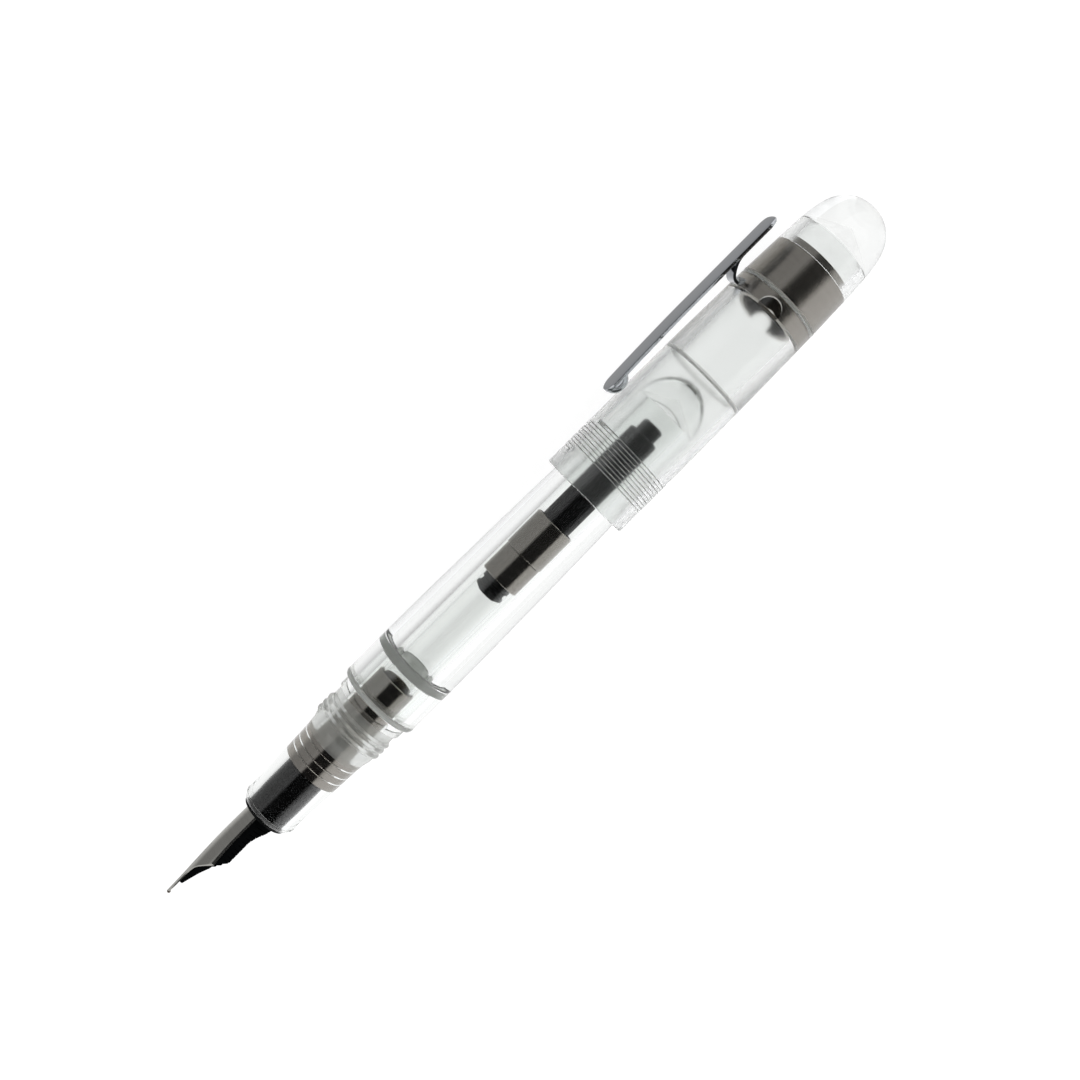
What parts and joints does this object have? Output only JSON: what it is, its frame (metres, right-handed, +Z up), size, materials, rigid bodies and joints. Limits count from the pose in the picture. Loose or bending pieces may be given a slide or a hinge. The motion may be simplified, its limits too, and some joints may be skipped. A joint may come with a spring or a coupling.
{
  "type": "fountain pen",
  "caption": "Clear fountain pen with a steel nib, screw-on grip, piston converter inside and a clipped cap posted on the rear of the barrel.",
  "frame": {"origin": "centre of the bounding box's bottom face: the table under the middle of the pen, which lies on the side of its cap and its clip", "axes": "+X along the pen towards the nib's tip; +Z up; the clip is on the -Y side, pointing about 36 degrees below horizontal"},
  "size_m": [0.1476, 0.017, 0.0151],
  "materials": {
    "acrylic": "polished clear",
    "seal_silicone": "translucent",
    "steel_nib": "satin",
    "tipping": "satin",
    "black_plastic": "moulded",
    "black_rubber": "satin",
    "plated_metal": "polished",
    "clip_chrome": "polished",
    "lead_screw_steel": "machined",
    "reservoir_plastic": "clear"
  },
  "bodies": {
    "barrel": {"barrel": "acrylic"},
    "seal": {"section_seal": "seal_silicone"},
    "front": {"grip_section": "acrylic", "nib": "steel_nib", "nib_tipping": "tipping", "feed": "black_plastic", "nib_housing": "black_plastic", "converter_sleeve": "plated_metal", "converter_reservoir": "reservoir_plastic", "converter_ferrule": "plated_metal", "converter_collar": "plated_metal"},
    "knob": {"converter_knob": "black_plastic", "knob_end_plug": "black_plastic", "lead_screw": "lead_screw_steel"},
    "piston": {"piston_seal": "black_rubber", "piston_rod": "black_plastic"},
    "bushing": {"finial_bushing": "plated_metal"},
    "cap": {"cap_body": "acrylic", "finial": "acrylic"},
    "clip": {"clip_arm": "clip_chrome", "clip_leaf": "clip_chrome"}
  },
  "joints": [
    {"name": "section_travel", "type": "slide", "parent": "barrel", "child": "seal", "axis": [1, 0, 0], "range_m": [0, 0.00565]},
    {"name": "section_turn", "type": "hinge", "parent": "seal", "child": "front", "pos_m": [0.02885, 0.00094, 0.00754], "axis": [1, 0, 0], "range_deg": [0, 1810]},
    {"name": "knob_turn", "type": "hinge", "parent": "front", "child": "knob", "pos_m": [-0.01715, 0.00094, 0.00754], "axis": [-1, 0, 0], "range_deg": [0, 2890]},
    {"name": "piston_travel", "type": "slide", "parent": "front", "child": "piston", "axis": [1, 0, 0], "range_m": [0, 0.0256]},
    {"name": "cap_pull", "type": "slide", "parent": "barrel", "child": "bushing", "axis": [-1, 0, 0], "range_m": [0, 0.04]},
    {"name": "cap_turn", "type": "hinge", "parent": "bushing", "child": "cap", "pos_m": [-0.03415, 0.00094, 0.00754], "axis": [1, 0, 0], "continuous": true},
    {"name": "clip_flex", "type": "hinge", "parent": "cap", "child": "clip", "pos_m": [-0.052, -0.00442, 0.00368], "axis": [0, 0.584, -0.8117], "range_deg": [0, 6], "stiffness_Nm_per_rad": 0.1}
  ],
  "couplings": [
    {"joint": "section_turn", "follows": "section_travel", "rad_per_m": 5560.3},
    {"joint": "knob_turn", "follows": "piston_travel", "rad_per_m": 1963.5}
  ]
}
